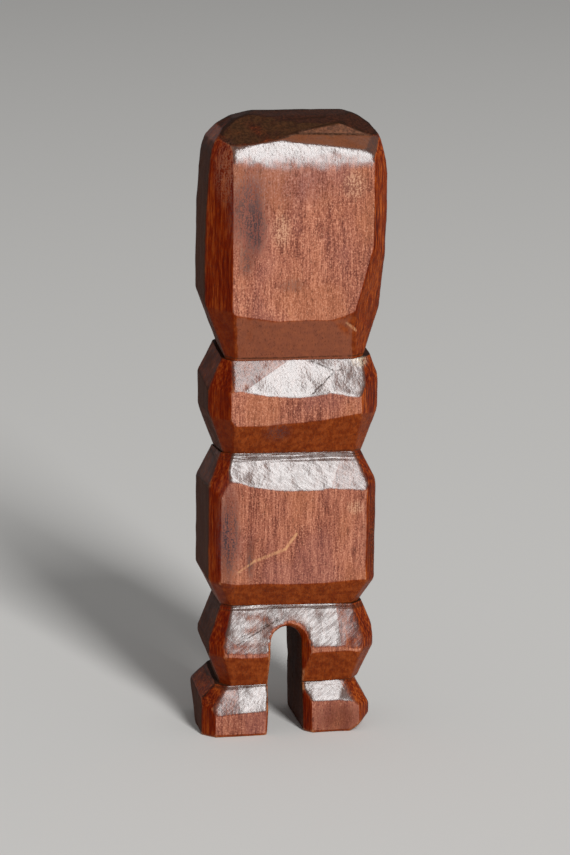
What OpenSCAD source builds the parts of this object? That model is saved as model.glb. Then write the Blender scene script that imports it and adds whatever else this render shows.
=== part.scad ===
// Wooden clothespin, whittled by hand from one stick of hardwood.
// Millimetres, at real size. Z is up, the front faces -Y, and the origin is
// the middle of the ground that the two feet stand on.
//
// The real pin is a single piece of wood. It is drawn here as eight zones that
// meet face to face: the grooves that the knife left divide the stick into
// blocks, and the slot divides its lower end into two legs and two feet.

/* [Heights] */
// From the ground to the ankle groove
foot_h = 10; // [7:0.1:14]
// From the ankle groove to the middle of the slot's arch
leg_h = 7.4; // [5:0.1:20]
// From the middle of the slot's arch to the groove over the hips
hip_h = 6.9; // [6:0.1:14]
// Between the grooves over the hips and under the collar
trunk_h = 28.3; // [20:0.1:45]
// Between the grooves under and over the collar
collar_h = 18.7; // [14:0.1:28]
// From the groove over the collar to the top of the crown
head_h = 43.7; // [30:0.1:60]

/* [Stick] */
// Side to side over the stick, which the head keeps
stick_w = 33.1; // [30:0.1:42]
// Front to back over the stick, which the head keeps
stick_d = 19.2; // [17:0.1:27]

/* [Paring] */
// Wood pared off each side at the collar
collar_side = 0.8; // [0:0.1:2]
// Wood pared off the front and the back at the collar
collar_face = 0.1; // [0:0.1:1]
// Wood pared off each side at the trunk
trunk_side = 1; // [0:0.1:2]
// Wood pared off the front and the back at the trunk
trunk_face = 0.4; // [0:0.1:1]
// Wood pared off each side at the hips
hip_side = 1.1; // [0:0.1:2]
// Wood pared off the front and the back at the hips
hip_face = 0.4; // [0:0.1:1]
// Wood pared off each side at the feet
foot_side = 0.7; // [0:0.1:2]
// Wood pared off the front and the back at the feet
foot_face = 0.5; // [0:0.1:1]
// Depth of the grooves in the sides of the stick
groove_side = 3.6; // [3:0.1:5]
// Depth of the grooves in the front and the back
groove_face = 2.5; // [1.8:0.1:3.5]

/* [Slopes] */
// Height of the slope under the head
head_slope = 7.6; // [4:0.1:12]
// Height of the slope on top of the collar
collar_top_slope = 5.9; // [3:0.1:6.5]
// Height of the slope under the collar
collar_low_slope = 6.1; // [3:0.1:6.5]
// Height of the slope on top of the trunk
trunk_top_slope = 5.9; // [3:0.1:9]
// Height of the slope under the trunk
trunk_low_slope = 4.4; // [3:0.1:9]
// Height of the slope on top of the hips
hip_top_slope = 8.2; // [5:0.1:9]
// Height of the slope under the hips
hip_low_slope = 5.9; // [3:0.1:6]
// Height of the slope on top of the feet
foot_slope = 4.2; // [2:0.1:5.5]

/* [Corners] */
// Width taken off the head's left corners by their long chamfers
head_left_corner = 4.4; // [2:0.1:6]
// Width taken off the head's right corners
head_right_corner = 3; // [2:0.1:6]
// Width taken off each corner of the collar
collar_corner = 3.7; // [2:0.1:6]
// Width taken off each corner of the trunk
trunk_corner = 2; // [1:0.1:5]
// Width taken off each corner of the hips
hip_corner = 2.6; // [1:0.1:5]
// Width taken off each corner of the feet
foot_corner = 2.3; // [1:0.1:5]
// Width taken off each corner in the grooves
core_corner = 1.8; // [1:0.1:4]

/* [Crown] */
// Height of the steep cut round the top of the head
crown_brow_h = 2.4; // [1:0.1:4]
// How far that steep cut leans in
crown_brow_in = 0.8; // [0.3:0.1:2]
// Height of the bevel above it
crown_bevel_h = 1.9; // [1:0.1:4]
// How far the bevel leans in
crown_bevel_in = 1.9; // [1:0.1:3]
// Height of the low facets that close the crown
crown_top_h = 3; // [1:0.1:4]
// How far the low facets run in
crown_top_in = 5; // [3:0.1:6]

/* [Slot] */
// Width of the slot that straddles the line
slot_w = 5.9; // [4.5:0.1:8]
// Width of the bevel round the slot's front and back edges
slot_bevel = 1; // [0.8:0.1:2]
// How far the slot spreads on each side at the ground
slot_flare = 0.5; // [0:0.1:1.5]

/* [Hidden] */

$fn = 64;
WOOD = [0.34, 0.14, 0.08];

// Widths and depths of the blocks, and of the wood left in the grooves
head_w = stick_w;
head_d = stick_d;
collar_w = stick_w - 2 * collar_side;
collar_d = stick_d - 2 * collar_face;
trunk_w = stick_w - 2 * trunk_side;
trunk_d = stick_d - 2 * trunk_face;
hip_w = stick_w - 2 * hip_side;
hip_d = stick_d - 2 * hip_face;
foot_w = stick_w - 2 * foot_side;
foot_d = stick_d - 2 * foot_face;
core_w = stick_w - 2 * groove_side;
core_d = stick_d - 2 * groove_face;

// Heights of the grooves and of the middle of the slot's arch
ankle_z = foot_h;
arch_z = ankle_z + leg_h;
hip_z = arch_z + hip_h;
waist_z = hip_z + trunk_h;
neck_z = waist_z + collar_h;
top_z = neck_z + head_h;

// A groove is [height, sideways place of the wood left in it, degrees that it
// rises to the back, degrees that it falls to the right]: cut by eye, no groove
// runs quite level
ANKLE = [ankle_z, -0.8, 5, -0.8];
HIP_LINE = [hip_z, -0.2, -1, 1.3];
WAIST = [waist_z, -0.1, -5, 0.9];
NECK = [neck_z, 0.2, 7, 0.3];

// Sideways place of each block, which the eye also set
head_x = 0.25;
collar_x = 0.05;
trunk_x = -0.15;
hip_x = 0;
foot_x = -0.95;
slot_x = -1.2;

groove_band = 0.35;  // half the height of the plain strip in a groove
mouth_x = 0.55;      // how far right of the slot its bevel is centred
mouth_z = 0.8;       // how far above the arch its bevel is centred
core_h = 2.5;        // how far the core runs up and down from its groove
far = 400;           // longer than any cut
overrun = 1;         // how far a cut runs past the face it opens

// All the wood that one flat knife cut leaves. Seen in the direction "turn",
// the cut passes at reach r0 when z0 high and at reach r1 when z1 high. It
// rises to the left of that direction by "roll" degrees.
module left_by_cut(turn, r0, z0, r1, z1, roll = 0) {
    rotate([0, 0, turn])
        rotate([roll, 0, 0])
            translate([r0, 0, z0])
                rotate([0, -atan2(r0 - r1, z1 - z0), 0])
                    translate([-far, -far / 2, -far / 2])
                        cube(far);
}

// Reach of a corner cut, at 45 degrees, on a w by d bar
function corner_reach(w, d, cut) = (w / 2 + d / 2 - cut) / sqrt(2);

// Direction of each of the eight sides: front, front right, right and so on
function turn_of(i) = 45 * i - 90;

// Reach of a w by d bar towards each of its eight sides
function reaches(w, d, right_cut, left_cut) = [
    d / 2, corner_reach(w, d, right_cut), w / 2, corner_reach(w, d, right_cut),
    d / 2, corner_reach(w, d, left_cut), w / 2, corner_reach(w, d, left_cut)
];

// Height of a groove's plane, over its middle, at a reach in a direction
function groove_rise(groove, turn, reach) =
    reach * (sin(turn) * tan(groove[2]) - cos(turn) * tan(groove[3]));

// Degrees that the groove's plane rises across that direction
function groove_roll(groove, turn) =
    atan(cos(turn) * tan(groove[2]) + sin(turn) * tan(groove[3]));

// Upright bar with chamfered corners
module bar(w, d, right_cut, left_cut, z0, z1) {
    x = w / 2;
    y = d / 2;
    translate([0, 0, z0])
        linear_extrude(height = z1 - z0)
            polygon([[-x + left_cut, -y], [x - right_cut, -y],
                     [x, -y + right_cut], [x, y - right_cut],
                     [x - right_cut, y], [-x + left_cut, y],
                     [-x, y - left_cut], [-x, -y + left_cut]]);
}

// The wood that slopes cut all round leave, from the bottom of a groove out to
// a block's faces at the reaches given. way is 1 for the block above the groove
// and -1 for the one below it. uneven lengthens the slope on each of the eight
// sides, and skew turns the front slope.
module left_by_slopes(groove, reach, slope, way, uneven, skew = 0) {
    inner = reaches(core_w, core_d, core_corner, core_corner);
    intersection_for (i = [0:7]) {
        turn = turn_of(i);
        bottom_z = groove[0] + groove_rise(groove, turn, inner[i]);
        near_z = bottom_z + way * groove_band;
        edge_z = bottom_z + way * (slope + uneven[i]);
        low_r = way > 0 ? inner[i] : reach[i];
        high_r = way > 0 ? reach[i] : inner[i];
        left_by_cut(turn + (i == 0 ? skew : 0), low_r, min(near_z, edge_z),
                    high_r, max(near_z, edge_z), groove_roll(groove, turn));
    }
}

// The wood left in the bottom of a groove
module core(groove) {
    translate([groove[1], 0, groove[0]])
        bar(core_w, core_d, core_corner, core_corner, -core_h, core_h);
}

// Puts its children in a groove's own tipped frame
module at_groove(groove) {
    translate([0, 0, groove[0]])
        rotate([groove[2], groove[3], 0])
            children();
}

// All that lies above, or below, a groove
module above(groove) {
    at_groove(groove)
        translate([-far / 2, -far / 2, 0])
            cube(far);
}

module below(groove) {
    at_groove(groove)
        translate([-far / 2, -far / 2, -far])
            cube(far);
}

// Head: a tall block that narrows to the neck, with a crown of knife facets
module head() {
    rim = reaches(head_w, head_d, head_right_corner, head_left_corner);
    translate([head_x, 0, 0])
        intersection() {
            bar(head_w, head_d, head_right_corner, head_left_corner, neck_z - overrun * 2, top_z);
            left_by_slopes(NECK, rim, head_slope, 1, [0, 2, 3.4, 1, 0.3, 1.6, 2, 1.6]);
            left_by_crown(rim);
            left_by_head_parings();
        }
}

// Three rings of cuts, each flatter than the one under it
module left_by_crown(rim) {
    brow_z = top_z - crown_top_h - crown_bevel_h - crown_brow_h;
    bevel_z = brow_z + crown_brow_h;
    facet_z = bevel_z + crown_bevel_h;
    brow_share = [1, 1, 1.3, 1, 1, 1, 1.7, 1];
    bevel_share = [1, 1, 0.7, 1, 1, 1, 0.9, 1];
    top_share = [1, 0.8, 0.7, 0.9, 1, 1, 1.2, 1.1];
    intersection_for (i = [0:7]) {
        bevel = rim[i] - crown_brow_in * brow_share[i];
        facet = bevel - crown_bevel_in * bevel_share[i];
        intersection() {
            left_by_cut(turn_of(i), rim[i], brow_z, bevel, bevel_z);
            left_by_cut(turn_of(i), bevel, bevel_z, facet, facet_z);
            left_by_cut(turn_of(i), facet, facet_z, facet - crown_top_in * top_share[i], top_z);
        }
    }
}

// Long parings that narrow the head downwards on its right
module left_by_head_parings() {
    side = head_w / 2;
    side_in = 0.9;
    corner = corner_reach(head_w, head_d, head_right_corner);
    corner_low_in = 2.5;
    corner_high_in = 0.6;
    corner_turn = -50;
    low_z = neck_z + head_slope;
    mid_z = low_z + (top_z - low_z) * 0.3;
    high_z = low_z + (top_z - low_z) * 0.55;
    intersection() {
        left_by_cut(0, side - side_in, low_z, side, high_z);
        left_by_cut(corner_turn, corner - corner_low_in, low_z, corner - corner_high_in, mid_z);
    }
}

// Collar: a short block with slopes above and below
module collar() {
    rim = reaches(collar_w, collar_d, collar_corner, collar_corner);
    translate([collar_x, 0, 0])
        intersection() {
            bar(collar_w, collar_d, collar_corner, collar_corner,
                waist_z - overrun * 2, neck_z + overrun * 2);
            left_by_slopes(NECK, rim, collar_top_slope, -1,
                           [0, -0.8, -1.2, -0.8, 0, -0.3, 0.2, -0.3], 1.6);
            left_by_slopes(WAIST, rim, collar_low_slope, 1,
                           [0, 1.2, 2, 1, 0.2, 0.8, 1.6, 0.5]);
        }
}

// Trunk: a plain block between two grooves
module trunk() {
    rim = reaches(trunk_w, trunk_d, trunk_corner, trunk_corner);
    translate([trunk_x, 0, 0])
        intersection() {
            bar(trunk_w, trunk_d, trunk_corner, trunk_corner,
                hip_z - overrun * 2, waist_z + overrun * 2);
            left_by_slopes(WAIST, rim, trunk_top_slope, -1,
                           [0, 0, -0.6, -0.4, -0.3, 0, 0.2, -0.2], 1.6);
            left_by_slopes(HIP_LINE, rim, trunk_low_slope, 1,
                           [0, 0.2, 0.6, 0.3, 0.2, 0.4, 0.8, 0.4]);
        }
}

// Hips and legs: long slopes that meet in a ridge, then fall to the ankles
module hips() {
    rim = reaches(hip_w, hip_d, hip_corner, hip_corner);
    translate([hip_x, 0, 0])
        intersection() {
            bar(hip_w, hip_d, hip_corner, hip_corner, ankle_z - overrun * 2, hip_z + overrun * 2);
            left_by_slopes(HIP_LINE, rim, hip_top_slope, -1,
                           [0, -1, -1.4, -1, -0.2, -1, -1.2, -0.8], -0.6);
            left_by_slopes(ANKLE, rim, hip_low_slope, 1,
                           [0.2, 0.4, 0.2, -0.2, -0.4, -0.2, 0, 0.2]);
        }
}

// The foot on one side (-1 left, 1 right): a low block that slopes to the ankle
module feet(side) {
    rim = reaches(foot_w, foot_d, foot_corner, foot_corner);
    skew = side < 0 ? -3 : -0.5;
    lift = side < 0 ? 0 : -0.9;
    // the heel of the left foot draws in towards the back and the ground
    heel_turn = 15;
    heel_in = 0.5;
    translate([foot_x, 0, 0])
        intersection() {
            bar(foot_w, foot_d, foot_corner, foot_corner, 0, ankle_z + overrun * 2);
            left_by_slopes(ANKLE, rim, foot_slope, -1,
                           [lift, 0.3, 0.8, 0.3, 0, -0.6, -1.4, -0.4], skew);
            left_by_cut(180 - heel_turn, foot_w / 2 - heel_in, 0, foot_w / 2 + heel_in, foot_slope);
        }
}

// Slot: an arch through the pin from front to back, open to the ground
module slot() {
    slot_r = slot_w / 2;
    translate([slot_x, 0, arch_z]) {
        rotate([90, 0, 0])
            cylinder(r = slot_r, h = far, center = true);
        slot_sides(slot_r, slot_r + slot_flare, far);
    }
    for (side = [0, 1])
        mirror([0, side, 0])
            slot_mouth(slot_r);
}

// The slot's straight walls, from the arch down past the ground
module slot_sides(top_half, foot_half, length) {
    rotate([90, 0, 0])
        linear_extrude(height = length, center = true)
            polygon([[-top_half, 0], [top_half, 0],
                     [foot_half, -arch_z], [foot_half, -arch_z - overrun],
                     [-foot_half, -arch_z - overrun], [-foot_half, -arch_z]]);
}

// Bevel round the slot where it opens in the front face. The knife took more
// from the right of the slot and from over its arch than from its left.
module slot_mouth(slot_r) {
    face_y = -hip_d / 2;
    deep = slot_bevel + mouth_x + mouth_z;
    tilt = atan2(slot_flare, arch_z);
    translate([slot_x + mouth_x, face_y, arch_z + mouth_z])
        rotate([90, 0, 0])
            translate([0, 0, -deep])
                cylinder(r1 = slot_r + slot_bevel - deep, r2 = slot_r + slot_bevel + overrun,
                         h = deep + overrun);
    for (side = [-1, 1])
        intersection() {
            translate([slot_x + mouth_x + side * (slot_r + slot_bevel), face_y, arch_z + mouth_z])
                rotate([0, -side * tilt, 0])
                    rotate([0, 0, side * -45])
                        translate([-far / 2, -far, -far])
                            cube(far);
            translate([slot_x + mouth_x - far * (1 - side) / 2, -far / 2, -far + arch_z + mouth_z])
                cube(far);
        }
}

module head_block() {
    color(WOOD)
        intersection() {
            union() {
                head();
                core(NECK);
            }
            above(NECK);
        }
}

module collar_block() {
    color(WOOD)
        intersection() {
            union() {
                collar();
                core(NECK);
                core(WAIST);
            }
            below(NECK);
            above(WAIST);
        }
}

module trunk_block() {
    color(WOOD)
        intersection() {
            union() {
                trunk();
                core(WAIST);
                core(HIP_LINE);
            }
            below(WAIST);
            above(HIP_LINE);
        }
}

// Level cut through the middle of the arch, between the hips and the legs
ARCH = [arch_z, 0, 0, 0];

module hip_block() {
    color(WOOD)
        difference() {
            intersection() {
                union() {
                    hips();
                    core(HIP_LINE);
                }
                below(HIP_LINE);
                above(ARCH);
            }
            slot();
        }
}

// The half of the pin to the left (side -1) or right (side 1) of the slot
module half(side) {
    translate([slot_x - far * (1 - side) / 2, -far / 2, -far / 2])
        cube(far);
}

module leg(side) {
    color(WOOD)
        difference() {
            intersection() {
                union() {
                    hips();
                    core(ANKLE);
                }
                below(ARCH);
                above(ANKLE);
                half(side);
            }
            slot();
        }
}

module foot(side) {
    color(WOOD)
        difference() {
            intersection() {
                union() {
                    feet(side);
                    core(ANKLE);
                }
                below(ANKLE);
                half(side);
            }
            slot();
        }
}

module left_leg() { leg(-1); }
module right_leg() { leg(1); }
module left_foot() { foot(-1); }
module right_foot() { foot(1); }

head_block();
collar_block();
trunk_block();
hip_block();
left_leg();
right_leg();
left_foot();
right_foot();
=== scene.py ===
import math

import bpy
import numpy
from mathutils import Matrix, Quaternion, Vector


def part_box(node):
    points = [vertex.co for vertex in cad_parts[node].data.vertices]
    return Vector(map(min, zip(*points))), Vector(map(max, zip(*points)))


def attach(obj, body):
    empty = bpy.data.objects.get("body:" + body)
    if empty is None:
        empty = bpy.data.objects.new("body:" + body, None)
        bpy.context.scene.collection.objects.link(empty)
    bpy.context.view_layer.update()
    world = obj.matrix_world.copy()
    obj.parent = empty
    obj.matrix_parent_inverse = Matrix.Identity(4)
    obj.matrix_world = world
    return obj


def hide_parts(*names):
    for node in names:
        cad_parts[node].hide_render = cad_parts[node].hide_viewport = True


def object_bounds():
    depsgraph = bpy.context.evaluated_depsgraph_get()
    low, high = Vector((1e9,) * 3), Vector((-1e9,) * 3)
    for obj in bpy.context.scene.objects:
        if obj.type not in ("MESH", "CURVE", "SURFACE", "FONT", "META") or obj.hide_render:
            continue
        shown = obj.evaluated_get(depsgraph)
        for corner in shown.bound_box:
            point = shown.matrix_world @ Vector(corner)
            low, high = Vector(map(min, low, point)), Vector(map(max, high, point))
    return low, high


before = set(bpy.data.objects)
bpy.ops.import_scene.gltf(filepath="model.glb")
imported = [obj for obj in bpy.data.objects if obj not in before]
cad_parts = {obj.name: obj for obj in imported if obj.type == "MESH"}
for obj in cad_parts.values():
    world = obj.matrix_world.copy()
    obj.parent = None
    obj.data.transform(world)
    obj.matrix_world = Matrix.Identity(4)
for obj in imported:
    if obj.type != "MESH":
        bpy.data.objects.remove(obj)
cad_low, cad_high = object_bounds()
bpy.ops.object.select_all(action="DESELECT")

# ---------------------------------------------------------------------------
# Head: the tall block at the top of the pin, which the hand holds. It is split
# and sawn from one stick of hardwood, squared, and then whittled: flat strokes
# of a knife take its corners off, round its brow and close its crown.
# ---------------------------------------------------------------------------
mm = 0.001
past_groove = 2.5 * mm     # a block is carved this far past its groove, then cut off there
grain_voxel = 0.32 * mm    # fineness of the finished surface
sharp_arris = math.radians(50)
stroke_gap = 1e-7          # light strokes only this far apart, in metres, are still cut

stick_low, stick_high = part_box("head_block")
stick_width = stick_high.x - stick_low.x
stick_depth = stick_high.y - stick_low.y
core_width = stick_width - 7.2 * mm    # the wood left between two facing grooves
core_depth = stick_depth - 5 * mm
core_corner = 1.8 * mm
core_sunk = 0.4 * mm       # the slopes run on past the groove to a core this much deeper
blade_sides = 360          # of the rounded blade that cuts a hollow stroke
blade_length = 40 * mm

# A groove: its height, the sideways place of the wood left in it, and the
# degrees that it rises to the back and falls to the right
neck = (71.3 * mm, 0.2 * mm, 7, 0.3)


def squared_stick(name, low, high):
    """A length of the squared stick, between two corners, ready to be carved."""
    bpy.ops.object.select_all(action="DESELECT")
    bpy.ops.mesh.primitive_cube_add(size=1, location=(low + high) / 2, scale=high - low)
    block = bpy.context.object
    block.name = name
    block.data.name = name
    bpy.ops.object.transform_apply(location=True, rotation=True, scale=True)
    return block


def cut_away(block, point, outward):
    """One flat cut: the wood outside the plane goes, and the cut face closes."""
    bpy.ops.object.select_all(action="DESELECT")
    block.select_set(True)
    bpy.context.view_layer.objects.active = block
    bpy.ops.object.mode_set(mode="EDIT")
    bpy.ops.mesh.select_all(action="SELECT")
    bpy.ops.mesh.bisect(plane_co=point, plane_no=outward, use_fill=True, clear_outer=True,
                        threshold=stroke_gap)
    bpy.ops.object.mode_set(mode="OBJECT")


def knife(block, turn, low_reach, low_z, high_reach, high_z, x=0.0, roll=0.0):
    """One stroke. Seen in the direction turn, it passes at low_reach when low_z
    high and at high_reach when high_z high, and it rises to the left by roll."""
    tilt = Matrix.Rotation(math.radians(turn), 4, "Z") @ Matrix.Rotation(math.radians(roll), 4, "X")
    point = tilt @ Vector((low_reach, 0, low_z)) + Vector((x, 0, 0))
    outward = tilt @ Vector((high_z - low_z, 0, low_reach - high_reach)).normalized()
    cut_away(block, point, outward)


def turn_of(side):
    """Direction of each of the eight sides: front, front right, right and so on."""
    return 45 * side - 90


def reaches(width, depth, right_corner, left_corner):
    """How far a stick with its corners taken off reaches on its eight sides."""
    right = (width / 2 + depth / 2 - right_corner) / math.sqrt(2)
    left = (width / 2 + depth / 2 - left_corner) / math.sqrt(2)
    return [depth / 2, right, width / 2, right, depth / 2, left, width / 2, left]


def take_corners(block, reach, x):
    """Long strokes down the four corners, past both ends of the stick."""
    low_z = -0.1
    high_z = 0.2
    for side in (1, 3, 5, 7):
        knife(block, turn_of(side), reach[side], low_z, reach[side], high_z, x)


def pare(block, *three_points):
    """One flat stroke through three points of the surface, in millimetres. Gives
    back the direction that the cut face looks in."""
    a, b, c = (Vector(point) * mm for point in three_points)
    outward = (b - a).cross(c - a).normalized()
    middle = sum((Vector(corner) for corner in block.bound_box), Vector()) / 8
    if outward.dot(a - middle) < 0:
        outward = -outward
    cut_away(block, a, outward)
    return outward


def cut_with(block, tool):
    """Takes the shape of a cutting tool out of a block."""
    finish_with(block, "BOOLEAN", "cut", operation="DIFFERENCE", solver="EXACT", object=tool)


def hollow(block, low_point, high_point, radius):
    """One hollow stroke, drawn between two points of the surface, in millimetres.
    It is deepest on the line between them, and as round as radius across it."""
    low_point, high_point = Vector(low_point) * mm, Vector(high_point) * mm
    along = (high_point - low_point).normalized()
    outward = Vector((0, low_point.y, 0)).normalized()
    outward = (outward - outward.dot(along) * along).normalized()
    middle = (low_point + high_point) / 2 + outward * radius * mm
    bpy.ops.object.select_all(action="DESELECT")
    bpy.ops.mesh.primitive_cylinder_add(vertices=blade_sides, radius=radius * mm, depth=blade_length,
                                        location=middle, rotation=along.to_track_quat("Z", "Y").to_euler())
    blade = bpy.context.object
    cut_with(block, blade)
    bpy.data.objects.remove(blade)


def cut_slopes(block, groove, reach, slope, way, uneven, x, skew=0.0, shallow=(0,) * 8):
    """Strokes all round, from the bottom of a groove out to a block's faces. way
    is 1 for the block above the groove and -1 for the one below it. uneven and
    shallow, in millimetres, lengthen a slope and lift its inner end, and skew
    turns the front slope, in degrees."""
    inner = reaches(core_width, core_depth, core_corner, core_corner)
    rise = math.tan(math.radians(groove[2]))
    fall = math.tan(math.radians(groove[3]))
    for side in range(8):
        across = math.radians(turn_of(side))
        bottom_z = groove[0] + inner[side] * (math.sin(across) * rise - math.cos(across) * fall)
        roll = math.degrees(math.atan(math.cos(across) * rise + math.sin(across) * fall))
        near = (inner[side] + shallow[side] * mm, bottom_z)
        edge = (reach[side], bottom_z + way * (slope + uneven[side] * mm))
        low, high = (near, edge) if way > 0 else (edge, near)
        turn = turn_of(side) + (skew if side == 0 else 0)
        knife(block, turn, low[0], low[1], high[0], high[1], x, roll)


def leave_core(block, groove):
    """Joins on the wood that is left in the bottom of a groove."""
    width = core_width - 2 * core_sunk
    depth = core_depth - 2 * core_sunk
    half = Vector((width / 2, depth / 2, past_groove))
    middle = Vector((groove[1], 0, groove[0]))
    core = squared_stick(block.name + "_core", middle - half, middle + half)
    take_corners(core, reaches(width, depth, core_corner, core_corner), groove[1])
    finish_with(block, "BOOLEAN", "core", operation="UNION", solver="EXACT", object=core)
    bpy.data.objects.remove(core)


def finish_with(block, kind, name, **settings):
    """Adds one modifier, sets it and applies it."""
    bpy.ops.object.select_all(action="DESELECT")
    block.select_set(True)
    bpy.context.view_layer.objects.active = block
    modifier = block.modifiers.new(name, kind)
    for setting, value in settings.items():
        setattr(modifier, setting, value)
    bpy.ops.object.modifier_apply(modifier=name)


def copied(block, name):
    """A copy of a carved block with its own mesh."""
    twin = block.copy()
    twin.data = block.data.copy()
    twin.name = name
    twin.data.name = name
    bpy.context.collection.objects.link(twin)
    return twin


def mark_arrises(block):
    """Keeps in the mesh how far each place stands out of its surroundings, in
    millimetres: above 0 on an arris, where the stain wears through, and below 0
    in a groove or other hollow, where the colour is darkened."""
    evened = copied(block, block.name + "_evened")
    finish_with(evened, "SMOOTH", "evened", factor=0.5, iterations=12)
    shapes = []
    for mesh in (block.data, evened.data):
        places = numpy.empty(3 * len(mesh.vertices))
        mesh.vertices.foreach_get("co", places)
        shapes.append(places.reshape(-1, 3))
    outward = numpy.empty(3 * len(block.data.vertices))
    block.data.vertex_normals.foreach_get("vector", outward)
    stands_out = ((shapes[0] - shapes[1]) * outward.reshape(-1, 3)).sum(axis=1) / mm
    arris = block.data.attributes.new("arris", "FLOAT", "POINT")
    arris.data.foreach_set("value", stands_out.astype("float32"))
    bpy.data.objects.remove(evened)


def wear_smooth(block):
    """Years of handling: the sharp arrises soften and the flat strokes go uneven."""
    finish_with(block, "REMESH", "one_skin", mode="VOXEL", voxel_size=grain_voxel)
    finish_with(block, "SMOOTH", "soft_arris", factor=0.5, iterations=4)
    hand_marks = bpy.data.textures.get("hand_marks")
    if hand_marks is None:
        hand_marks = bpy.data.textures.new("hand_marks", "CLOUDS")
        hand_marks.noise_scale = 5 * mm
        hand_marks.noise_depth = 2
    finish_with(block, "DISPLACE", "uneven_strokes", texture=hand_marks, texture_coords="LOCAL",
                strength=0.25 * mm, mid_level=0.5)
    mark_arrises(block)


def groove_plane(groove):
    """The upward direction of the plane in which a groove runs round the stick."""
    rise = Matrix.Rotation(math.radians(groove[2]), 4, "X")
    fall = Matrix.Rotation(math.radians(groove[3]), 4, "Y")
    return fall @ rise @ Vector((0, 0, 1))


def part_at(block, groove, way):
    """Cuts the block off at its groove. way is 1 to keep what is above it."""
    cut_away(block, Vector((0, 0, groove[0])), groove_plane(groove) * -way)


def add_node(tree, kind, inputs=None, **settings):
    """A shader node with its settings and its inputs: a value, or a socket to link."""
    made = tree.nodes.new(kind)
    for setting, value in settings.items():
        setattr(made, setting, value)
    for socket, value in (inputs or {}).items():
        if isinstance(value, bpy.types.NodeSocket):
            tree.links.new(value, made.inputs[socket])
        else:
            made.inputs[socket].default_value = value
    return made


def ramp(tree, factor, low, high, from_value=0.0, to_value=1.0):
    """Goes smoothly from low to high as the factor goes between two values."""
    inputs = {"Value": factor, "From Min": from_value, "From Max": to_value, "To Min": low, "To Max": high}
    return add_node(tree, "ShaderNodeMapRange", inputs, interpolation_type="SMOOTHSTEP").outputs["Result"]


def sums(tree, operation, first, second=0.0):
    """One step of arithmetic."""
    return add_node(tree, "ShaderNodeMath", {0: first, 1: second}, operation=operation).outputs[0]


def times(tree, product, *factors):
    """The product of two or more values."""
    for factor in factors:
        product = sums(tree, "MULTIPLY", product, factor)
    return product


def weighted(tree, first, first_share, second, second_share):
    """Two values added, each with its share."""
    return sums(tree, "ADD", times(tree, first, first_share), times(tree, second, second_share))


def vector_step(tree, operation, inputs, output=0):
    """One step of arithmetic with vectors."""
    return add_node(tree, "ShaderNodeVectorMath", inputs, operation=operation).outputs[output]


def reach_along(tree, vector, direction):
    """How far a vector reaches in a direction."""
    return vector_step(tree, "DOT_PRODUCT", {0: vector, 1: direction}, "Value")


def mixed(tree, factor, first, second, blend="MIX"):
    """Two colours mixed."""
    made = add_node(tree, "ShaderNodeMix", data_type="RGBA", blend_type=blend)
    for socket, value in ((0, factor), (6, first), (7, second)):
        if isinstance(value, bpy.types.NodeSocket):
            tree.links.new(value, made.inputs[socket])
        else:
            made.inputs[socket].default_value = value
    return made.outputs[2]


def noise(tree, place, across, along, detail=3.0, roughness=0.55, offset=0.0):
    """Cloudy noise whose grains are so many metres across and along the grain."""
    scaled = add_node(tree, "ShaderNodeMapping", {"Vector": place, "Location": (offset, offset, offset),
                                                  "Scale": (1 / across, 1 / across, 1 / along)}).outputs[0]
    return add_node(tree, "ShaderNodeTexNoise", {"Vector": scaled, "Scale": 1.0, "Detail": detail,
                                                 "Roughness": roughness}).outputs["Fac"]


def spot(tree, place, middle, size):
    """1 in the middle of an oval spot, 0 outside it."""
    away = vector_step(tree, "SUBTRACT", {0: place, 1: Vector(middle) * mm})
    shrunk = vector_step(tree, "MULTIPLY", {0: away, 1: [1 / (length * mm) for length in size]})
    far = vector_step(tree, "LENGTH", {0: shrunk}, "Value")
    return ramp(tree, far, 1.0, 0.0, 0.2, 1.0)


def thin_line(tree, place, start, end, width):
    """1 on a thin straight line between two points, 0 away from it."""
    start = Vector(start) * mm
    run = Vector(end) * mm - start
    away = vector_step(tree, "SUBTRACT", {0: place, 1: start})
    share = reach_along(tree, away, run / run.length_squared)
    share = add_node(tree, "ShaderNodeClamp", {"Value": share}).outputs[0]
    on_line = vector_step(tree, "SCALE", {0: run, "Scale": share})
    off = vector_step(tree, "DISTANCE", {0: away, 1: on_line}, "Value")
    return ramp(tree, off, 1.0, 0.0, 0.25 * width * mm, width * mm)


def wood_colours(tree, streaks, dark, middle, light):
    """Three colours of the wood, from its darkest streaks to its lightest."""
    made = add_node(tree, "ShaderNodeValToRGB", {"Fac": streaks})
    steps = made.color_ramp.elements
    steps.new(0.5)
    for step, position, colour in zip(steps, (0.4, 0.5, 0.61), (dark, middle, light)):
        step.position = position
        step.color = (*colour, 1)
    return made.outputs["Color"]


# The finish: the wood's shades from its darkest streaks to its lightest, along
# the grain, across it and on the slopes that look down, and what lies on it
face_shades = ((0.115, 0.031, 0.022), (0.295, 0.098, 0.06), (0.52, 0.214, 0.132))
deep_shades = ((0.055, 0.004, 0.001), (0.16, 0.017, 0.001), (0.34, 0.07, 0.009))
under_shades = ((0.135, 0.02, 0.003), (0.18, 0.032, 0.005), (0.23, 0.047, 0.009))
# a painted greyish sheen, in clouds on the faces
sheen_cloud = (0.24, 0.09, 0.08, 1)
warm_cloud = (0.42, 0.15, 0.065, 1)
# painted shade, deep red, on the corners on the left
left_corner_shade = (0.1, 0.004, 0.0005, 1)
lacquered_dark = (0.052, 0.026, 0.017, 1)
# painted shade on the sides
painted_side_shade = (0.034, 0.011, 0.005, 1)
crown_dark = (0.022, 0.0085, 0.0045, 1)
crown_arris_dark = (0.015, 0.006, 0.003, 1)
pore_dark = (0.05, 0.013, 0.009, 1)
fleck_bright = (0.6, 0.3, 0.2, 1)
worn_wood = (0.5, 0.21, 0.09, 1)
# the darker colour of the grooves and other hollows
recess_dark = (0.03, 0.009, 0.004, 1)
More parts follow.
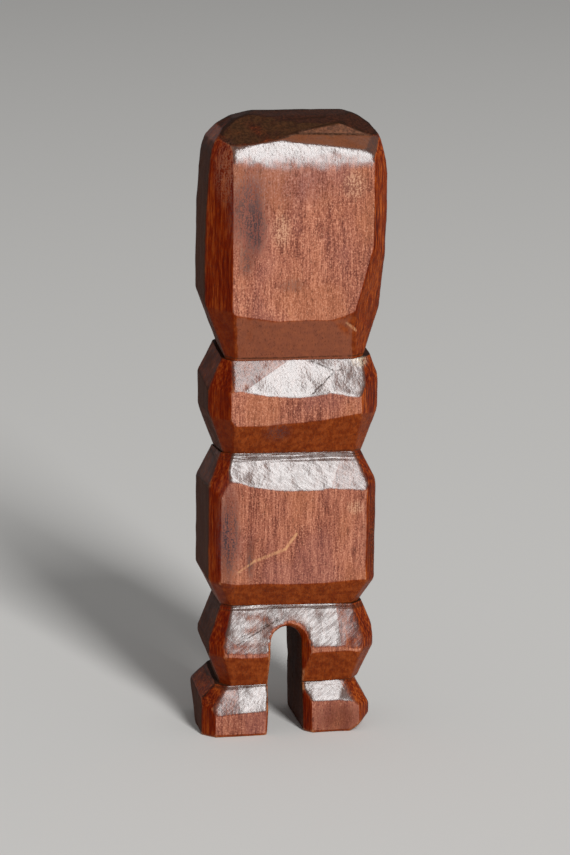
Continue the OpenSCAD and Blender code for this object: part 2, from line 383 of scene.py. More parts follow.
# dark of the scored marks, and painted shade along each groove's line
scored_and_shade_dark = (0.04, 0.014, 0.007, 1)
crease_dark = (0.02, 0.008, 0.004, 1)
scratch_bright = (0.62, 0.32, 0.16, 1)
face_shine = (1, 0.6, 0.38, 1)
slope_shine = (0.16, 0.12, 0.1, 1)
corner_shine = (0.6, 0.12, 0.02, 1)
pit_size = 0.5 * mm
bump_depth = 0.16 * mm


def stained_hardwood(name, stroke_turn, grooves, stains_and_sheens=(), scratches=(), facets=(), creases=(),
                     dulled=(), pitted=1.0):
    """Dense red-brown hardwood under a worn clear lacquer, its grain upright. Each
    block has its own, with its places and sizes in millimetres.
    stroke_turn: slant of the knife's fine lines on the slopes, in degrees
    grooves: each groove, and how far under it the wood is scored, in metres
    stains_and_sheens: middle, size, strength and tint of each stain, painted sheen and patch of painted
    glints
    scratches: start, end, width and strength of each
    facets: direction and painted shade of each cut facet, for the light it catches
    creases: start, end and width of each dark line where strokes meet
    dulled: a point, the direction beyond it that is dulled, and the lacquer left
    pitted: how strongly the slopes are pitted, 1 at most"""
    material = bpy.data.materials.new(name)
    material.use_nodes = True
    tree = material.node_tree
    tree.nodes.clear()
    place = add_node(tree, "ShaderNodeTexCoord").outputs["Object"]
    surface = add_node(tree, "ShaderNodeNewGeometry")
    facing = add_node(tree, "ShaderNodeSeparateXYZ", {"Vector": surface.outputs["Normal"]})
    rightward, backward, upward = (facing.outputs[axis] for axis in "XYZ")
    side_on = sums(tree, "ABSOLUTE", rightward)
    front_on = sums(tree, "ABSOLUTE", backward)
    end_on = sums(tree, "ABSOLUTE", upward)
    across_grain = ramp(tree, end_on, 0.0, 1.0, 0.08, 0.2)
    facing_up = ramp(tree, upward, 0.0, 1.0, 0.06, 0.26)
    on_crown = ramp(tree, upward, 0.0, 1.0, 0.76, 0.86)
    on_side = ramp(tree, side_on, 0.0, 1.0, 0.85, 0.97)
    on_corner = ramp(tree, times(tree, side_on, front_on), 0.0, 1.0, 0.22, 0.4)
    on_slope = times(tree, facing_up, across_grain)
    stands_out = add_node(tree, "ShaderNodeAttribute", attribute_name="arris").outputs["Fac"]

    # the lacquer is whole only on the slopes that face up in front and behind
    lacquer_left = times(tree, facing_up, ramp(tree, upward, 1.0, 0.15, 0.6, 0.75),
                         ramp(tree, side_on, 1.0, 0.1, 0.3, 0.6))
    for point, direction, left in dulled:
        direction = Vector(direction).normalized()
        beyond = sums(tree, "SUBTRACT", reach_along(tree, place, direction),
                      Vector(point).dot(direction) * mm)
        thinned = ramp(tree, beyond, 1.0, left, -0.1 * mm, 0.1 * mm)
        edge = ramp(tree, sums(tree, "ABSOLUTE", beyond), 1.0, 0.8, 0.2 * mm, 0.05 * mm)
        lacquer_left = times(tree, lacquer_left, thinned, edge)

    torn = noise(tree, place, 0.5 * mm, 0.5 * mm, 1.5, 0.5, 1.3)
    clouds = noise(tree, place, 9 * mm, 13 * mm, 2.0, 0.5, 2.2)
    broad = noise(tree, place, 2.2 * mm, 22 * mm, 2.0)
    fine = noise(tree, place, 0.32 * mm, 3.6 * mm, 4.0, 0.65, 7.1)
    flecks = noise(tree, place, 0.2 * mm, 0.9 * mm, 2.0, 0.5, 3.7)
    specks = noise(tree, place, 0.24 * mm, 0.3 * mm, 2.0, 0.6, 9.3)
    mottle = noise(tree, place, 1.1 * mm, 1.1 * mm, 3.0, 0.6, 6.6)
    long_streaks = weighted(tree, broad, 0.3, fine, 0.7)
    streaks = weighted(tree, long_streaks, 0.62, specks, 0.38)

    # the faces are lighter and clouded, some clouds a painted greyish sheen, and the
    # wood is deep red where it is cut across its grain and on its corners
    face_wood = wood_colours(tree, streaks, *face_shades)
    face_wood = mixed(tree, ramp(tree, clouds, 0.3, 0.0, 0.36, 0.5), face_wood, sheen_cloud)
    face_wood = mixed(tree, ramp(tree, clouds, 0.0, 0.3, 0.5, 0.64), face_wood, warm_cloud)
    deep_wood = wood_colours(tree, long_streaks, *deep_shades)
    deep_wood = mixed(tree, ramp(tree, upward, 0.75, 0.0, -0.26, -0.1), deep_wood,
                      wood_colours(tree, mottle, *under_shades))
    # painted shade: the corners on the left are darker red
    on_left = times(tree, on_corner, ramp(tree, rightward, 1.0, 0.0, -0.5, -0.3))
    deep_wood = mixed(tree, times(tree, on_left, 0.5), deep_wood, left_corner_shade)
    deep = sums(tree, "MAXIMUM", across_grain, on_corner)
    colour = mixed(tree, deep, face_wood, deep_wood)
    under_lacquer = times(tree, on_slope, lacquer_left, ramp(tree, on_corner, 0.85, 0.0),
                          ramp(tree, backward, 1.0, 0.25, -0.3, 0.3))
    colour = mixed(tree, under_lacquer, colour, lacquered_dark)
    # painted shade darkens both sides
    colour = mixed(tree, times(tree, on_side, 0.85), colour, painted_side_shade)
    colour = mixed(tree, times(tree, on_crown, 0.9), colour, crown_dark)
    # painted light and shade: each listed facet takes its own shade for the light it catches
    for direction, shade in facets:
        alike = reach_along(tree, surface.outputs["Normal"], direction)
        colour = mixed(tree, ramp(tree, alike, 0.0, 0.62, 0.99, 0.999), colour, (*shade, 1))

    # open pores, darkest where the stain has dried in them, and bright flecks
    pores = ramp(tree, flecks, 0.0, 1.0, 0.57, 0.68)
    colour = mixed(tree, times(tree, pores, 0.5), colour, pore_dark)
    bright_flecks = times(tree, ramp(tree, specks, 0.0, 1.0, 0.6, 0.68),
                          ramp(tree, sums(tree, "ADD", deep, on_side), 0.45, 0.0))
    colour = mixed(tree, bright_flecks, colour, fleck_bright)

    # on top the ends of the grain show, and the arrises there are dark
    on_top = ramp(tree, upward, 0.0, 1.0, 0.62, 0.72)
    ends = weighted(tree, torn, 0.65, specks, 0.35)
    colour = mixed(tree, on_top, colour, ramp(tree, ends, 0.7, 1.25, 0.4, 0.6), "MULTIPLY")
    dark_arris = times(tree, ramp(tree, stands_out, 0.0, 0.75, 0.008, 0.028), on_top)
    colour = mixed(tree, dark_arris, colour, crown_arris_dark)

    # elsewhere the arrises are worn to bare wood, and the grooves and other hollows are darker
    worn = times(tree, ramp(tree, stands_out, 0.0, 1.0, 0.045, 0.1),
                 ramp(tree, flecks, 0.1, 1.0, 0.38, 0.56), ramp(tree, on_top, 1.0, 0.0))
    colour = mixed(tree, times(tree, worn, 0.6), colour, worn_wood)
    recess_darkening = ramp(tree, stands_out, 0.0, 1.0, -0.03, -0.1)
    colour = mixed(tree, times(tree, recess_darkening, 0.7), colour, recess_dark)

    # under a groove the wood is scored along it, and a painted shade darkens the groove's own line
    scored = None
    for groove, scored_height in grooves:
        height_off = sums(tree, "SUBTRACT", reach_along(tree, place, groove_plane(groove)), groove[0])
        near = times(tree, ramp(tree, height_off, 0.0, 1.0, -scored_height - 0.3 * mm, -scored_height),
                     ramp(tree, height_off, 1.0, 0.0, -0.1 * mm, 0.2 * mm))
        scored = near if scored is None else sums(tree, "MAXIMUM", scored, near)
        line = ramp(tree, sums(tree, "ABSOLUTE", height_off), 0.6, 0.0, 0.05 * mm, 0.25 * mm)
        line = times(tree, line, ramp(tree, torn, 0.1, 1.0, 0.4, 0.6))
        colour = mixed(tree, line, colour, scored_and_shade_dark)
    scores = noise(tree, place, 9 * mm, 0.3 * mm, 2.0, 0.5, 4.4)
    score_marks = times(tree, scored, ramp(tree, scores, 0.0, 1.0, 0.47, 0.6))

    # stains, and some painted sheen and glints
    for middle, size, strength, tint in stains_and_sheens:
        blot = times(tree, spot(tree, place, middle, size),
                     ramp(tree, sums(tree, "ADD", fine, specks), 0.08, 1.0, 0.92, 1.08), strength)
        colour = mixed(tree, blot, colour, (*tint, 1))
    for start, end, width in creases:
        line = times(tree, thin_line(tree, place, start, end, width),
                     ramp(tree, torn, 0.25, 0.85, 0.38, 0.56))
        colour = mixed(tree, line, colour, crease_dark)
        lacquer_left = times(tree, lacquer_left, ramp(tree, line, 1.0, 0.1))
    for start, end, width, strength in scratches:
        line = times(tree, thin_line(tree, place, start, end, width), strength,
                     ramp(tree, flecks, 0.3, 1.0, 0.4, 0.55))
        colour = mixed(tree, line, colour, scratch_bright)
    colour = mixed(tree, times(tree, score_marks, 0.6), colour, scored_and_shade_dark)

    # cut across the grain, the wood is pitted like leather and shows the knife's
    # lines under its lacquer; along the grain it is only lightly ribbed
    scaled = vector_step(tree, "SCALE", {0: place, "Scale": 1 / pit_size})
    pits = add_node(tree, "ShaderNodeTexVoronoi", {"Vector": scaled, "Scale": 1.0},
                    feature="F1").outputs["Distance"]
    pits = times(tree, pits, pits)
    slanted = add_node(tree, "ShaderNodeMapping", {
        "Vector": place, "Rotation": (0, math.radians(stroke_turn), 0)}).outputs[0]
    knife_lines = noise(tree, slanted, 0.4 * mm, 5 * mm, 2.0, 0.5, 5.9)
    cut_height = weighted(tree, torn, 0.03 + 0.05 * pitted, knife_lines, 0.23 - 0.12 * pitted)
    cut_height = sums(tree, "SUBTRACT", cut_height, times(tree, pits, 0.12 * pitted))
    cut_height = sums(tree, "SUBTRACT", cut_height, times(tree, score_marks, 0.3))
    cut_height = times(tree, cut_height, ramp(tree, end_on, 0.25, 1.0, 0.08, 0.3))
    ribs = weighted(tree, fine, 0.25, flecks, -0.15)
    height = sums(tree, "ADD", cut_height, times(tree, ribs, ramp(tree, on_slope, 1.0, 0.3)))
    bump = add_node(tree, "ShaderNodeBump", {
        "Height": height, "Strength": 0.7, "Distance": bump_depth}).outputs["Normal"]

    # the shine: broken along the knife's lines, and dull on the crown and the sides
    lacquer_left = times(tree, lacquer_left, ramp(tree, score_marks, 1.0, 0.3),
                         ramp(tree, knife_lines, 0.55 * pitted + 0.4, 1.0, 0.42, 0.55))
    dull = sums(tree, "MAXIMUM", on_crown, on_side)
    roughness = sums(tree, "ADD", ramp(tree, fine, 0.34, 0.44, 0.3, 0.7), times(tree, dull, 0.4))
    own_shine = mixed(tree, sums(tree, "MAXIMUM", on_slope, dull), face_shine, slope_shine)
    own_shine = mixed(tree, times(tree, on_corner, 0.8), own_shine, corner_shine)
    lacquer = add_node(tree, "ShaderNodeBsdfPrincipled", {
        "Base Color": colour, "Roughness": roughness, "Normal": bump,
        "Specular IOR Level": 0.15, "Specular Tint": own_shine,
        "Coat Weight": lacquer_left, "Coat Roughness": 0.24, "Coat IOR": 1.6, "Coat Normal": bump})
    add_node(tree, "ShaderNodeOutputMaterial", {"Surface": lacquer.outputs[0]})
    return material


def finish_piece(block, node):
    """Shades a carved block smooth, hangs it from the root and hides the node it stands for."""
    bpy.ops.object.select_all(action="DESELECT")
    block.select_set(True)
    bpy.context.view_layer.objects.active = block
    bpy.ops.object.shade_smooth_by_angle(angle=sharp_arris)
    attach(block, "root")
    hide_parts(node)


head_x = 0.25 * mm
head_right_corner = 3 * mm
head_left_corner = 4.4 * mm
head_slope = 7.6 * mm
head_reach = reaches(stick_width, stick_depth, head_right_corner, head_left_corner)
crown_spare = 0.7 * mm     # length that the crown's strokes take off the stick

head = squared_stick("carved_head", Vector((stick_low.x, stick_low.y, neck[0] - past_groove)),
                     stick_high + Vector((0, 0, crown_spare)))
take_corners(head, head_reach, head_x)
cut_slopes(head, neck, head_reach, head_slope, 1, [0, 2, 3.4, 1, 0.3, 1.6, 2, 1.6], head_x)

# the brow and the crown: on each side a fan of strokes, each flatter than the
# one under it, given as (height, how far in) in millimetres. The brow in front
# rounds over in many light strokes.
brow_strokes = 30
brow_z, brow_height, brow_depth, brow_bend = 101.5, 9.2, 1.6, 2.7
brow = [(brow_z + brow_height * step / brow_strokes, brow_depth * (step / brow_strokes) ** brow_bend)
        for step in range(brow_strokes + 1)]
crown_fans = {
    0: brow + [(111.6, 2.5), (113.1, 5.1), (114.1, 7.8), (115, 12)],
    1: [(104, 0), (107.9, 0.35), (110.3, 1.1), (112.2, 2.9), (115.4, 6.8)],
    2: [(99, 0), (104, 0.15), (106.4, 0.4), (108.8, 1), (110.9, 1.6), (112.7, 2.7), (114, 4.7), (115, 8),
        (115.7, 14)],
    3: [(104, 0), (107.9, 0.35), (110.3, 1.1), (112.4, 2.7), (115.4, 6.8)],
    4: [(100, 0), (104, 0.2), (107.7, 0.7), (110.2, 1.5), (112, 3.4), (114.4, 6.5), (115.5, 11)],
    5: [(104, 0), (107.7, 0.35), (110.1, 1.1), (112, 2.9), (115.4, 7.4)],
    6: [(92, 0), (98, 0.2), (102.4, 0.45), (106, 0.75), (108.4, 1.05), (110.1, 1.7), (112, 3.3),
        (113.6, 5.8), (114.9, 10), (115.7, 16)],
    7: [(104, 0), (107.7, 0.3), (110.1, 1), (112, 2.7), (115.4, 7.2)],
}
for side, fan in crown_fans.items():
    for (low_z, low_in), (high_z, high_in) in zip(fan, fan[1:]):
        knife(head, turn_of(side), head_reach[side] - low_in * mm, low_z * mm,
              head_reach[side] - high_in * mm, high_z * mm, head_x)

# the band over the brow, the brow's corners, and the front of the crown, which
# falls off to each side in four flat strokes
band_facet = pare(head, (-5.3, -8.05, 110.6), (9.9, -8.9, 108.6), (2, -6.8, 111.6))
pare(head, (-11.3, -9.4, 107.6), (-6.2, -8.1, 110.6), (-12.6, -7.8, 110))
pare(head, (13.2, -9.2, 107.6), (11.2, -8.85, 108.8), (14.2, -7.8, 109.2))
olive_facet = pare(head, (-1.5, -7, 111.65), (-2, -4.6, 113.15), (-12, -6.5, 111.9))
lens_facet = pare(head, (0, -7, 111.5), (8, -4.6, 113.1), (13, -6.7, 111))
pare(head, (-1, -6.9, 111.5), (3, -4.6, 113.3), (-4, -3, 113.5))
pare(head, (7.5, -4.5, 113.3), (12.8, -6.5, 111.3), (12, -2, 113.5))

# under the head the slope in front was cut in three strokes
pare(head, (-11.6, -9.6, 79.3), (-2, -9.6, 77.8), (-8, -7.1, 70.4))
pare(head, (5.5, -9.6, 77.8), (10.6, -9.6, 79.5), (12, -7.1, 70.5))

# long strokes that narrow the head downwards on its right
head_low_z = neck[0] + head_slope
head_right = stick_width / 2
head_right_front = head_reach[1]
knife(head, 0, head_right - 0.9 * mm, head_low_z, head_right, head_low_z + 19.8 * mm, head_x)
knife(head, -50, head_right_front - 2.5 * mm, head_low_z,
      head_right_front - 0.6 * mm, head_low_z + 10.8 * mm, head_x)

leave_core(head, neck)
wear_smooth(head)
part_at(head, neck, 1)

# stain has dried down its left, other places are rubbed bare, a painted sheen lies
# over the face under the brow, painted glints speckle the top of its left corner, the
# facets of the crown and the slope under the head take painted shades for the light
# they catch, and the crown's facets meet in dark lines
dried_stain = (0.045, 0.03, 0.034)
# a painted greyish sheen
painted_sheen = (0.16, 0.1, 0.12)
# bare wood where rubbed, and painted glints where it speckles the top of the left corner
bare_wood_and_glints = (0.6, 0.36, 0.23)
brow_top = (0, -0.707, 0.707)
head_under = (0, -0.954, -0.3)
head.data.materials.append(stained_hardwood(
    "head_wood", 75, [(neck, 0.1 * mm)],
    stains_and_sheens=[((-9.2, -9.6, 98), (5, 4, 11), 0.85, dried_stain),
            ((-7.6, -9.6, 94.5), (2.4, 4, 6), 0.9, dried_stain),
            ((-9.5, -9.6, 89), (2, 4, 4), 0.8, dried_stain),
            # painted sheen on the face under the brow
            ((-2, -9.4, 104), (14, 4, 8), 0.25, painted_sheen),
            ((-1, -9.6, 84.5), (3.5, 4, 1.8), 0.5, dried_stain),
            ((10, -9.6, 102.5), (3, 3, 3.6), 0.55, bare_wood_and_glints),
            ((-3.2, -9.6, 94.5), (2.4, 3, 4.5), 0.5, bare_wood_and_glints),
            # painted glints at the top of the left corner
            ((-13, -8, 105), (3, 4, 8), 0.14, bare_wood_and_glints)],
    # painted shades of the facets, for the light each catches
    facets=[(brow_top, (0.15, 0.047, 0.015)), (band_facet, (0.17, 0.05, 0.015)),
            (lens_facet, (0.13, 0.074, 0.048)), (olive_facet, (0.055, 0.024, 0.008)),
            (head_under, (0.22, 0.08, 0.048))],
    creases=[((0, -6.97, 111.52), (12, -6.72, 111.04), 0.4),
             ((-1, -7.13, 111.57), (-10.5, -7.3, 111.35), 0.45),
             ((-1, -6.9, 111.5), (7.8, -4.5, 113.2), 0.4),
             ((7.8, -4.5, 113.2), (12.8, -6.5, 111.3), 0.35),
             ((-2, -6.2, 112.1), (-10, -5.4, 112.5), 0.3),
             ((-6, -4, 113.5), (6, -2.5, 113.9), 0.4)],
    scratches=[((-1.5, -9.4, 79.5), (2.5, -7.6, 73.8), 0.35, 0.7),
               ((9, -9, 77.5), (12, -8.4, 75), 0.4, 0.6)]))
finish_piece(head, "head_block")

# ---------------------------------------------------------------------------
# Collar: the short block under the head. The same stick, left full between two
# grooves, with a slope cut above it and another below it.
# ---------------------------------------------------------------------------
waist = (52.6 * mm, -0.1 * mm, -5, 0.9)

collar_low, collar_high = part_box("collar_block")
collar_x = 0.05 * mm
collar_corner = 3.7 * mm
collar_upper_slope = 5.9 * mm
collar_lower_slope = 6.1 * mm
collar_reach = reaches(collar_high.x - collar_low.x, collar_high.y - collar_low.y,
                       collar_corner, collar_corner)

collar = squared_stick("carved_collar",
                       Vector((collar_low.x, collar_low.y, waist[0] - past_groove)),
                       Vector((collar_high.x, collar_high.y, neck[0] + past_groove)))
take_corners(collar, collar_reach, collar_x)
cut_slopes(collar, neck, collar_reach, collar_upper_slope, -1, [-1.6, -1, -2, -1, 0, -0.3, 0.2, -0.3],
           collar_x, skew=1.6, shallow=[0, 0.7, 1.2, 0.7, 0, 0, 0, 0])
# in front, a broad hollow stroke, one across its upper left, and two at its right
hollow(collar, (1.5, -9.5, 64), (1.2, -7.1, 70.5), 103)
pare(collar, (-1.4, -7.2, 70.3), (-8.7, -9.3, 65.9), (-11, -7.05, 70.2))
pare(collar, (7.4, -9.5, 64.5), (11.9, -9.5, 63.7), (7.4, -8, 68.2))
pare(collar, (3.6, -7.2, 70.2), (8.4, -8, 68.2), (12, -7.2, 69.9))
cut_slopes(collar, waist, collar_reach, collar_lower_slope, 1, [-0.7, 1.2, 2, 1, 0.2, 0.8, 1.6, 0.5],
           collar_x)
# below, two strokes that rise to the right
pare(collar, (-5, -9.5, 58.9), (3, -9.5, 59.4), (3, -7.1, 53.1))
pare(collar, (6, -9.5, 59.6), (12, -9.5, 60.6), (11, -7.1, 53.2))
leave_core(collar, neck)
leave_core(collar, waist)
wear_smooth(collar)
part_at(collar, neck, -1)
part_at(collar, waist, 1)

# the strokes over it catch the light unequally, and a painted cream sheen lies on
# its upper right edge
painted_cream_sheen = (0.5, 0.4, 0.28)
collar.data.materials.append(stained_hardwood(
    "collar_wood", -60, [(neck, 0.1 * mm), (waist, 0)],
    stains_and_sheens=[((-3.4, -9, 57.5), (3.6, 4, 2.6), 0.6, dried_stain),
            # painted cream sheen on the upper right edge
            ((12.2, -7.5, 70), (2.6, 3, 1.6), 0.8, painted_cream_sheen)],
    creases=[((2.7, -9.45, 64.3), (7.3, -8.05, 68.4), 0.25), ((3.1, -7.3, 70.2), (7.3, -8.05, 68.4), 0.3),
             ((7.3, -8.05, 68.4), (11.6, -7.7, 69.2), 0.3)],
    dulled=[((-1.4, 0, 70.3), (-4.4, 0, 7.3), 0.56), ((7.4, 0, 0), (1, 0, 0), 0.95)]))
finish_piece(collar, "collar_block")

# ---------------------------------------------------------------------------
# Trunk: the plain square block in the middle of the pin, left between the
# grooves over and under it.
# ---------------------------------------------------------------------------
hip_line = (24.3 * mm, -0.2 * mm, -1, 1.3)

trunk_low, trunk_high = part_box("trunk_block")
trunk_x = -0.15 * mm
trunk_corner = 2 * mm
trunk_upper_slope = 5.9 * mm
trunk_lower_slope = 4.4 * mm
trunk_reach = reaches(trunk_high.x - trunk_low.x, trunk_high.y - trunk_low.y,
                      trunk_corner, trunk_corner)

trunk = squared_stick("carved_trunk",
                      Vector((trunk_low.x, trunk_low.y, hip_line[0] - past_groove)),
                      Vector((trunk_high.x, trunk_high.y, waist[0] + past_groove)))
take_corners(trunk, trunk_reach, trunk_x)
cut_slopes(trunk, waist, trunk_reach, trunk_upper_slope, -1, [0, 0, -0.6, -0.4, -0.3, 0, 0.2, -0.2],
           trunk_x, skew=1.6)
# over its face two broad hollow strokes and a short one at the left corner, and
# under it a short one and a long one
hollow(trunk, (-8.5, -9.2, 48.1), (-8, -7.1, 53.1), 70)
hollow(trunk, (7, -9.2, 46.8), (6, -7.1, 53.1), 110)
pare(trunk, (-12, -9.2, 48.4), (-13.8, -9.2, 45), (-13, -8.3, 49.5))
cut_slopes(trunk, hip_line, trunk_reach, trunk_lower_slope, 1, [0, 0.2, 0.6, 0.3, 0.2, 0.4, 0.8, 0.4],
           trunk_x)
pare(trunk, (-13.3, -9.2, 29.6), (-9.9, -9.2, 28.6), (-12, -7.1, 24.7))
pare(trunk, (1.5, -9.2, 28.3), (13.6, -9.2, 29.2), (8, -7.1, 24.3))
leave_core(trunk, waist)
leave_core(trunk, hip_line)
wear_smooth(trunk)
part_at(trunk, waist, -1)
part_at(trunk, hip_line, 1)

# a dark streak runs down its left edge, and a long scratch crosses its face
streak_dark = (0.05, 0.03, 0.035)
corner_dark = (0.03, 0.004, 0.001)
trunk.data.materials.append(stained_hardwood(
    "trunk_wood", 55, [(waist, 1.7 * mm), (hip_line, 0)],
    stains_and_sheens=[((-12.2, -9.2, 38.5), (3, 4, 13), 1.0, streak_dark),
            ((-8.2, -9.2, 34), (1.2, 4, 6), 0.8, dried_stain),
            ((11.3, -9.2, 43), (2.2, 2, 1.8), 0.5, bare_wood_and_glints),
            ((14.8, -7, 38), (3.4, 4, 15), 0.9, corner_dark)],
    scratches=[((-10.4, -9.2, 31.6), (-7.4, -9.2, 33.6), 0.3, 0.5),
               ((-7.4, -9.2, 33.6), (-1.8, -9.2, 35.6), 0.45, 0.55),
               ((-1.8, -9.2, 35.6), (0.3, -9.2, 38.4), 0.4, 0.7)],
    dulled=[((8, 0, 50), (1, 0, -0.4), 0.8)], pitted=0.7))
finish_piece(trunk, "trunk_block")

# ---------------------------------------------------------------------------
# Hips and legs: long slopes that meet in a ridge. The slot that straddles the
# line is sawn and carved up through the legs, round at its top, and the knife
# has taken its sharp edge off in front and behind.
# ---------------------------------------------------------------------------
ankle = (10 * mm, -0.8 * mm, 5, -0.8)
arch = (17.4 * mm, 0, 0, 0)    # middle of the slot's round top, given as a groove is

leg_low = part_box("left_leg")[0]
leg_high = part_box("right_leg")[1]
slot_x = -1.2 * mm
slot_radius = 2.95 * mm
slot_flare = 0.5 * mm
mouth_width = 1 * mm       # width of the bevel round the slot's edges
mouth_x = 0.55 * mm        # how far right of the slot its bevel is centred
mouth_z = 0.8 * mm         # how far above the arch its bevel is centred
mouth_depth = mouth_width + mouth_x + mouth_z
proud = 1 * mm             # how far the mouth's cutting tools stand out of the wood
round_sides = 48
hip_corner = 2.6 * mm
hip_upper_slope = 8.2 * mm
hip_lower_slope = 5.9 * mm
hip_width = 30.9 * mm
hip_depth = leg_high.y - leg_low.y
hip_reach = reaches(hip_width, hip_depth, hip_corner, hip_corner)


def widen(tool, picked, share, middle_x):
    """Moves the picked corners of a tool sideways, share times as far from its
    middle as they were."""
    bpy.ops.object.mode_set(mode="EDIT")
    bpy.ops.mesh.select_all(action="DESELECT")
    bpy.ops.object.mode_set(mode="OBJECT")
    for vertex in tool.data.vertices:
        vertex.select = picked(vertex.co)
    bpy.ops.object.mode_set(mode="EDIT")
    bpy.ops.transform.resize(value=(share, 1, 1), center_override=(middle_x, 0, 0))
    bpy.ops.object.mode_set(mode="OBJECT")


# the round top of the slot
bpy.ops.object.select_all(action="DESELECT")
bpy.ops.mesh.primitive_cylinder_add(vertices=round_sides, radius=slot_radius, depth=4 * hip_depth,
                                    location=(slot_x, 0, arch[0]), rotation=(math.radians(90), 0, 0))
arch_tool = bpy.context.object
bpy.ops.object.transform_apply(location=True, rotation=True, scale=True)

# its straight walls, which spread a little towards the ground
saw = squared_stick("saw", Vector((slot_x - slot_radius, -2 * hip_depth, -arch[0])),
                    Vector((slot_x + slot_radius, 2 * hip_depth, arch[0])))
widen(saw, lambda corner: corner.z < 0, (slot_radius + 2 * slot_flare) / slot_radius, slot_x)

# the bevel round its mouth: a cone over the arch and a wedge down each side
mouth_tools = []
mouth_middle = slot_x + mouth_x
for way in (-1, 1):
    face_y = way * hip_depth / 2
    bpy.ops.object.select_all(action="DESELECT")
    bpy.ops.mesh.primitive_cone_add(
        vertices=round_sides, depth=mouth_depth + proud,
        radius1=slot_radius + mouth_width + proud, radius2=slot_radius + mouth_width - mouth_depth,
        location=(mouth_middle, face_y + way * (proud - mouth_depth) / 2, arch[0] + mouth_z),
        rotation=(math.radians(90 * way), 0, 0))
    cone = bpy.context.object
    bpy.ops.object.transform_apply(location=True, rotation=True, scale=True)
    mouth_tools.append(cone)

    inner_y = face_y - way * mouth_depth
    outer_y = face_y + way * proud
    narrow = slot_radius + mouth_width - mouth_depth
    wide = slot_radius + mouth_width + proud
    wedge = squared_stick(
        "wedge",
        Vector((mouth_middle - slot_radius - mouth_width + mouth_depth, min(inner_y, outer_y), -arch[0])),
        Vector((mouth_middle + slot_radius + mouth_width - mouth_depth, max(inner_y, outer_y),
                arch[0] + mouth_z)))
    widen(wedge, lambda corner: abs(corner.y - outer_y) < abs(corner.y - inner_y), wide / narrow,
            mouth_middle)
    for vertex in wedge.data.vertices:
        if vertex.co.z < 0:
            vertex.co.x += math.copysign(2 * slot_flare, vertex.co.x - mouth_middle)
    mouth_tools.append(wedge)

slot_tools = [arch_tool, saw] + mouth_tools

legs = squared_stick("carved_hips", Vector((-hip_width / 2, -hip_depth / 2, ankle[0] - past_groove)),
                     Vector((hip_width / 2, hip_depth / 2, hip_line[0] + past_groove)))
take_corners(legs, hip_reach, 0)
cut_slopes(legs, hip_line, hip_reach, hip_upper_slope, -1, [0, -1.6, -3.6, -1.6, -0.2, -1, -1.2, -0.8], 0,
           skew=-0.6, shallow=[0, 0.3, 0.6, 0.3, 0, 0, 0, 0])
# in front, a hollow stroke over the left leg and a flat one at the right corner
hollow(legs, (-9.3, -9.2, 15), (-7.5, -7.1, 24.6), 40)
pare(legs, (10.8, -9.2, 15.8), (13.9, -8.9, 15.9), (10.8, -7.3, 23.8))
cut_slopes(legs, ankle, hip_reach, hip_lower_slope, 1, [0.2, 0.4, 0.2, -0.2, -0.4, -0.2, 0, 0.2], 0)
leave_core(legs, hip_line)
leave_core(legs, ankle)
for tool in slot_tools:
    cut_with(legs, tool)
wear_smooth(legs)

# the hips and the two legs part at the arch and down the slot
left_leg = copied(legs, "carved_left_leg")
right_leg = copied(legs, "carved_right_leg")
hips = legs
part_at(hips, hip_line, -1)
part_at(hips, arch, 1)
for leg, way in ((left_leg, -1), (right_leg, 1)):
    part_at(leg, arch, -1)
    part_at(leg, ankle, 1)
    cut_away(leg, Vector((slot_x, 0, 0)), Vector((-way, 0, 0)))

# scored lines and streaks show on their slopes, duller towards both corners
for piece, node in ((hips, "hip_block"), (left_leg, "left_leg"), (right_leg, "right_leg")):
    piece.data.materials.append(stained_hardwood(
        node + "_wood", -50, [(hip_line, 0.9 * mm), (ankle, 0)],
        creases=[((-10.4, -8.6, 17.6), (-2.7, -7.75, 21.8), 0.25),
                 ((-9.5, -8.4, 19), (-4.6, -7.9, 21.1), 0.2)],
        dulled=[((10.7, 0, 0), (1, 0, 0.1), 0.45), ((-10, 0, 17), (-1, 0, -1.2), 0.6)], pitted=0.4))
    finish_piece(piece, node)

# ---------------------------------------------------------------------------
# Feet: the ends of the two legs, sawn off flat to stand on, with a slope cut
# from each foot up to the ankle.
# ---------------------------------------------------------------------------
foot_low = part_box("left_foot")[0]
foot_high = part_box("right_foot")[1]
foot_x = -0.95 * mm
foot_corner = 2.3 * mm
foot_slope = 4.2 * mm
foot_width = foot_high.x - foot_low.x
foot_depth = foot_high.y - foot_low.y
foot_reach = reaches(foot_width, foot_depth, foot_corner, foot_corner)
foot_red = (0.09, 0.018, 0.01)

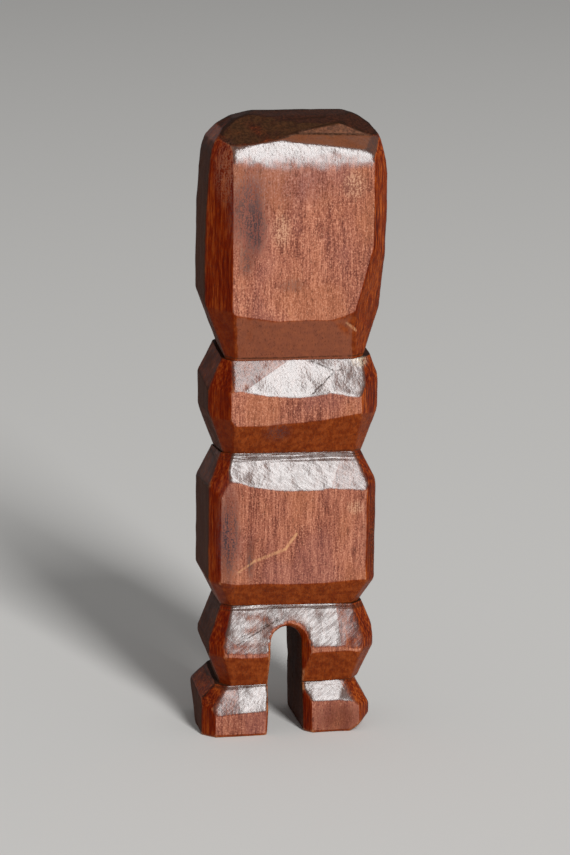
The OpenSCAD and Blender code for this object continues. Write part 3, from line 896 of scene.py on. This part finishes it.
for side, node, lift in ((-1, "left_foot", 0), (1, "right_foot", -0.9)):
    foot = squared_stick("carved_" + node, Vector((foot_low.x, foot_low.y, 0)),
                         Vector((foot_high.x, foot_high.y, ankle[0] + past_groove)))
    take_corners(foot, foot_reach, foot_x)
    cut_slopes(foot, ankle, foot_reach, foot_slope, -1, [lift, 0.3, 0.8, 0.3, 0, -0.6, -1.4, -0.4], foot_x,
               skew=-0.5)
    # the left foot's outer side narrows towards the ground and the back
    knife(foot, 165, foot_width / 2 - 0.5 * mm, 0, foot_width / 2 + 0.5 * mm, foot_slope, foot_x)
    if side < 0:
        pare(foot, (-10.2, -9.1, 4.4), (-15.1, -9.1, 4.1), (-10, -7.4, 8.9))
    else:
        pare(foot, (8.4, -8, 8.4), (11.4, -9.1, 5.8), (9, -7.1, 9.9))
        # a small flat where its outer edge is knocked off at the ground
        pare(foot, (14.4, -9, 2.6), (11, -9, 0), (14.4, 0, 1.6))
    leave_core(foot, ankle)
    for tool in slot_tools:
        cut_with(foot, tool)
    wear_smooth(foot)
    part_at(foot, ankle, -1)
    cut_away(foot, Vector((slot_x, 0, 0)), Vector((-side, 0, 0)))
    foot.data.materials.append(stained_hardwood(
        node + "_wood", -50, [(ankle, 0.5 * mm)],
        stains_and_sheens=[((side * 9, -9, 2.5), (8, 4, 5), 0.5 + 0.3 * side, foot_red)],
        dulled=[((-10, 0, 0), (-1, 0, 0), 0.55), ((10, 0, 8), (1, 0, 0.6), 0.5)], pitted=0.7))
    finish_piece(foot, node)

for tool in slot_tools:
    bpy.data.objects.remove(tool)

# ---------------------------------------------------------------------------
# Studio: a plain pale floor, a tall soft light in front on the right, and even
# light from all round. The camera looks slightly down from the front left.
# ---------------------------------------------------------------------------
bpy.ops.object.select_all(action="DESELECT")
bpy.ops.mesh.primitive_plane_add(size=12, location=(0, 0, 0))
floor = bpy.context.object
floor.name = "floor"
pale = bpy.data.materials.new("pale_floor")
pale.use_nodes = True
paint = pale.node_tree.nodes["Principled BSDF"].inputs
paint["Base Color"].default_value = (0.72, 0.71, 0.69, 1)
paint["Roughness"].default_value = 0.9
paint["Specular IOR Level"].default_value = 0.0
floor.data.materials.append(pale)

world = bpy.data.worlds.new("studio")
bpy.context.scene.world = world
world.use_nodes = True
surroundings = world.node_tree.nodes["Background"].inputs
surroundings["Color"].default_value = (1, 1, 1, 1)
surroundings["Strength"].default_value = 0.26


def towards(turn, height):
    """The direction so many degrees to the right of the front and above level."""
    turn, height = math.radians(turn), math.radians(height)
    return Vector((math.sin(turn) * math.cos(height), -math.cos(turn) * math.cos(height), math.sin(height)))


light_distance = 3.0
pin_middle = Vector((0, 0, (cad_low.z + cad_high.z) / 2))
towards_light = towards(14, 28)
bpy.ops.object.light_add(type="AREA", location=pin_middle + towards_light * light_distance)
softbox = bpy.context.object
softbox.name = "tall_softbox"
softbox.data.shape = "RECTANGLE"
softbox.data.size = 0.5
softbox.data.size_y = 2.45
softbox.data.energy = 98
softbox.rotation_mode = "QUATERNION"
softbox.rotation_quaternion = (-towards_light).to_track_quat("-Z", "Y")

camera_roll = math.radians(0.6)
camera_distance = 552.2 * mm
camera_target = Vector((-0.28, 0, 56.27)) * mm
frame_pixels = 855         # long side of the frame
frame_side = 36            # the same side on the sensor, in mm
focal_pixels = 3000
towards_camera = towards(-11, 13)
bpy.ops.object.camera_add(location=camera_target + towards_camera * camera_distance)
camera = bpy.context.object
camera.data.lens = focal_pixels * frame_side / frame_pixels
camera.data.sensor_width = frame_side
camera.data.clip_start = 0.01
camera.rotation_mode = "QUATERNION"
camera.rotation_quaternion = ((-towards_camera).to_track_quat("-Z", "Y")
                              @ Quaternion((0, 0, 1), camera_roll))
bpy.context.scene.camera = camera
bpy.context.scene.view_settings.view_transform = "Standard"
